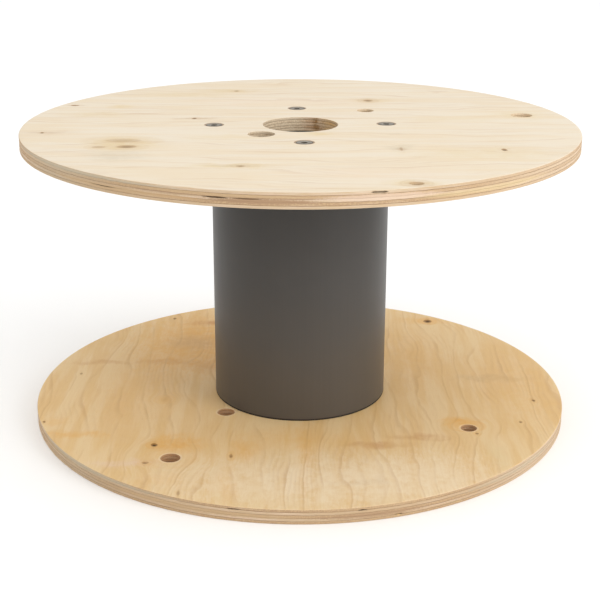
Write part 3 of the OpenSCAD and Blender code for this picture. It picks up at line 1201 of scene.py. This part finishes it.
def single_screw(name, node, up):
    """One screw on the drum's axis, at its own height. up is +1 where its head faces up."""
    look = bpy.context.scene.drum_screws
    low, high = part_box(node)
    head = (high.x - low.x) / 2
    face = high.z if up > 0 else low.z
    tip = low.z if up > 0 else high.z
    count = 60
    shank = look.shank_radius
    thick = look.head_thick
    bevel = 0.1 * thick

    def ring(points, depth):
        return at_height(points, face - up * depth)

    def disc(radius, depth):
        return ring(circle((0.0, 0.0), radius, count), depth)

    rings = [disc(head - bevel * 2.2, 0.0), disc(head - bevel, 0.16 * bevel)]
    rings += [disc(head - 0.3 * bevel, 0.5 * bevel), disc(head, 1.3 * bevel)]
    rings += [disc(head, thick - bevel), disc(head - bevel, thick)]
    rings += [disc(shank + bevel, thick), disc(shank, thick + bevel)]
    length_left = abs(tip - face)
    rings += [disc(shank, length_left - 2.2 * shank), disc(0.35 * shank, length_left)]
    shell = Shell()
    shell.wall(rings)
    shell.cap(rings[-1], (0.0, 0.0, tip))
    mouth = look.socket_radius
    top = [disc(head - bevel * 2.2, 0.0), disc(0.75 * head, 0.0), disc(0.62 * head, 0.00004)]
    top += [ring(hexagon(mouth * 1.22, count, 0.6), 0.00006)]
    top += [ring(hexagon(mouth * 1.05, count, 0.15), 0.0002), ring(hexagon(mouth, count, 0.1), 0.0006)]
    top += [ring(hexagon(mouth, count, 0.1), look.socket_depth)]
    shell.wall(top)
    shell.cap(top[-1], (0.0, 0.0, face - up * (look.socket_depth + 0.0004)))
    return shell.build(name, 40.0)


def ring_of_screws(material):
    """Geometry Nodes tree that sets copies of one screw round a circle."""
    tree = bpy.data.node_groups.new("ring_of_screws", "GeometryNodeTree")
    sockets = {}
    for name, kind in (
            ("Screw", "NodeSocketGeometry"), ("Count", "NodeSocketInt"),
            ("Circle Radius", "NodeSocketFloat"), ("First Angle", "NodeSocketFloat"),
            ("Socket Turn", "NodeSocketFloat")):
        sockets[name] = tree.interface.new_socket(name, in_out="INPUT", socket_type=kind)
    tree.interface.new_socket("Screws", in_out="OUTPUT", socket_type="NodeSocketGeometry")

    def node(kind, **settings):
        made = tree.nodes.new(kind)
        for key, value in settings.items():
            setattr(made, key, value)
        return made

    given = node("NodeGroupInput")
    ring = node("GeometryNodeMeshCircle", fill_type="NONE")
    turn = node("ShaderNodeCombineXYZ")
    turned = node("GeometryNodeTransform")
    chance = node("FunctionNodeRandomValue", data_type="FLOAT")
    chance.inputs["Seed"].default_value = 4
    spin = node("ShaderNodeCombineXYZ")
    rotation = node("FunctionNodeEulerToRotation")
    copies = node("GeometryNodeInstanceOnPoints")
    real = node("GeometryNodeRealizeInstances")
    finish = node("GeometryNodeSetMaterial")
    finish.inputs["Material"].default_value = material
    result = node("NodeGroupOutput")
    for source, target in (
            (given.outputs["Count"], ring.inputs["Vertices"]),
            (given.outputs["Circle Radius"], ring.inputs["Radius"]),
            (given.outputs["First Angle"], turn.inputs["Z"]),
            (ring.outputs["Mesh"], turned.inputs["Geometry"]),
            (turn.outputs["Vector"], turned.inputs["Rotation"]),
            (given.outputs["Socket Turn"], chance.inputs[3]),
            (chance.outputs[1], spin.inputs["Z"]),
            (spin.outputs["Vector"], rotation.inputs["Euler"]),
            (turned.outputs["Geometry"], copies.inputs["Points"]),
            (given.outputs["Screw"], copies.inputs["Instance"]),
            (rotation.outputs["Rotation"], copies.inputs["Rotation"]),
            (copies.outputs["Instances"], real.inputs["Geometry"]),
            (real.outputs["Geometry"], finish.inputs["Geometry"]),
            (finish.outputs["Geometry"], result.inputs["Screws"])):
        tree.links.new(source, target)
    return tree, sockets


class DRUM_OT_screws(bpy.types.Operator):
    """Make the rings of flat-headed screws in both flanges"""

    bl_idname = "drum.screws"
    bl_label = "Screws"

    def execute(self, context):
        metal = screw_metal(context.scene.drum_screws, head_spots(TOP_SCREWS))
        tree, sockets = ring_of_screws(metal)
        for name, nodes, up in (("screws_top", TOP_SCREWS, 1.0), ("screws_bottom", BOTTOM_SCREWS, -1.0)):
            piece = single_screw(name, nodes[0], up)
            first = node_middle(nodes[0])
            modifier = piece.modifiers.new("Ring of screws", "NODES")
            modifier.node_group = tree
            modifier[sockets["Count"].identifier] = len(nodes)
            modifier[sockets["Circle Radius"].identifier] = math.hypot(*first)
            modifier[sockets["First Angle"].identifier] = math.atan2(first[1], first[0])
            modifier[sockets["Socket Turn"].identifier] = TURN / 6
            evaluated = piece.evaluated_get(context.evaluated_depsgraph_get())
            mesh = bpy.data.meshes.new_from_object(evaluated)
            if len(mesh.vertices) != len(piece.data.vertices) * len(nodes):
                raise RuntimeError(f"{name} has the wrong number of screws")
            piece.modifiers.clear()
            piece.data = mesh
            declare(piece, metal, nodes)
        bpy.data.node_groups.remove(tree)
        return {"FINISHED"}


# ---------------------------------------------------------------- studio


def soft_light(name, place, aim, size, power):
    """A square area light that points at aim."""
    light = bpy.data.lights.new(name, "AREA")
    light.size = size
    light.energy = power
    lamp = bpy.data.objects.new(name, light)
    direction = Vector(aim) - Vector(place)
    turn = direction.to_track_quat("-Z", "Y").to_matrix().to_4x4()
    lamp.matrix_world = Matrix.Translation(place) @ turn
    bpy.context.scene.collection.objects.link(lamp)


class DRUM_OT_studio(bpy.types.Operator):
    """Make the pale floor, the soft lights and the camera"""

    bl_idname = "drum.studio"
    bl_label = "Studio"

    def execute(self, context):
        look = context.scene.drum_studio
        scene = context.scene
        reach = look.floor_size
        mesh = bpy.data.meshes.new("studio_floor")
        corners = [
            (-reach, -reach, 0.0), (reach, -reach, 0.0), (reach, reach, 0.0), (-reach, reach, 0.0)]
        mesh.from_pydata(corners, [], [(0, 1, 2, 3)])
        mesh.materials.append(studio_white(look))
        floor = bpy.data.objects.new("studio_floor", mesh)
        scene.collection.objects.link(floor)

        world = bpy.data.worlds.new("studio_surround")
        world.use_nodes = True
        background = world.node_tree.nodes["Background"]
        background.inputs["Color"].default_value = (1.0, 1.0, 1.0, 1.0)
        direction = world.node_tree.nodes.new("ShaderNodeTexCoord")
        split = world.node_tree.nodes.new("ShaderNodeSeparateXYZ")
        rise = world.node_tree.nodes.new("ShaderNodeMapRange")
        rise.inputs["To Min"].default_value = look.sky_low
        rise.inputs["To Max"].default_value = look.sky_high
        world.node_tree.links.new(direction.outputs["Generated"], split.inputs["Vector"])
        world.node_tree.links.new(split.outputs["Z"], rise.inputs["Value"])
        world.node_tree.links.new(rise.outputs["Result"], background.inputs["Strength"])
        scene.world = world
        middle = (0.0, 0.0, cad_box[1][2] / 2)
        soft_light("key_light", (1.9, -1.3, 1.0), middle, 1.3, look.key)
        soft_light("fill_light", (-1.6, -1.2, 1.2), middle, 1.6, look.fill)

        camera = bpy.data.cameras.new("camera")
        camera.lens = look.lens
        camera.sensor_width = 36.0
        camera.clip_start = 0.05
        camera.clip_end = 60.0
        view = bpy.data.objects.new("camera", camera)
        tilt = Matrix.Rotation(math.pi / 2 - look.camera_pitch, 4, "X")
        roll = Matrix.Rotation(look.camera_roll, 4, "Z")
        stand = Matrix.Translation((0.0, -look.camera_back, look.camera_high))
        view.matrix_world = stand @ tilt @ roll
        scene.collection.objects.link(view)
        scene.camera = view
        scene.view_settings.view_transform = "Standard"
        return {"FINISHED"}


# ---------------------------------------------------------------- add-on


class DRUM_PT_panel(bpy.types.Panel):
    """Settings and buttons of the drum"""

    bl_idname = "DRUM_PT_panel"
    bl_label = "Cable Drum"
    bl_space_type = "VIEW_3D"
    bl_region_type = "UI"
    bl_category = "Cable Drum"

    def draw(self, context):
        layout = self.layout
        for title, group in SETTINGS.items():
            box = layout.box()
            box.label(text=title)
            settings = getattr(context.scene, group[0])
            for name in group[1].__annotations__:
                box.prop(settings, name)
        for operator in OPERATORS:
            layout.operator(operator.bl_idname)


SETTINGS = {
    "Veneer": ("drum_veneer", VeneerSettings),
    "Tube": ("drum_tube", TubeSettings),
    "Screws": ("drum_screws", ScrewSettings),
    "Studio": ("drum_studio", StudioSettings),
}
OPERATORS = (
    DRUM_OT_top_flange, DRUM_OT_bottom_flange, DRUM_OT_barrel, DRUM_OT_screws, DRUM_OT_studio)


def register():
    for name, kind in SETTINGS.values():
        bpy.utils.register_class(kind)
        setattr(bpy.types.Scene, name, bpy.props.PointerProperty(type=kind))
    for kind in (*OPERATORS, DRUM_PT_panel):
        bpy.utils.register_class(kind)


def unregister():
    for kind in reversed((*OPERATORS, DRUM_PT_panel)):
        bpy.utils.unregister_class(kind)
    for name, kind in SETTINGS.values():
        delattr(bpy.types.Scene, name)
        bpy.utils.unregister_class(kind)


def main():
    register()
    bpy.ops.drum.studio()
    bpy.ops.drum.top_flange()
    bpy.ops.drum.bottom_flange()
    bpy.ops.drum.barrel()
    bpy.ops.drum.screws()
    bpy.context.view_layer.update()


if __name__ == "__main__":
    main()
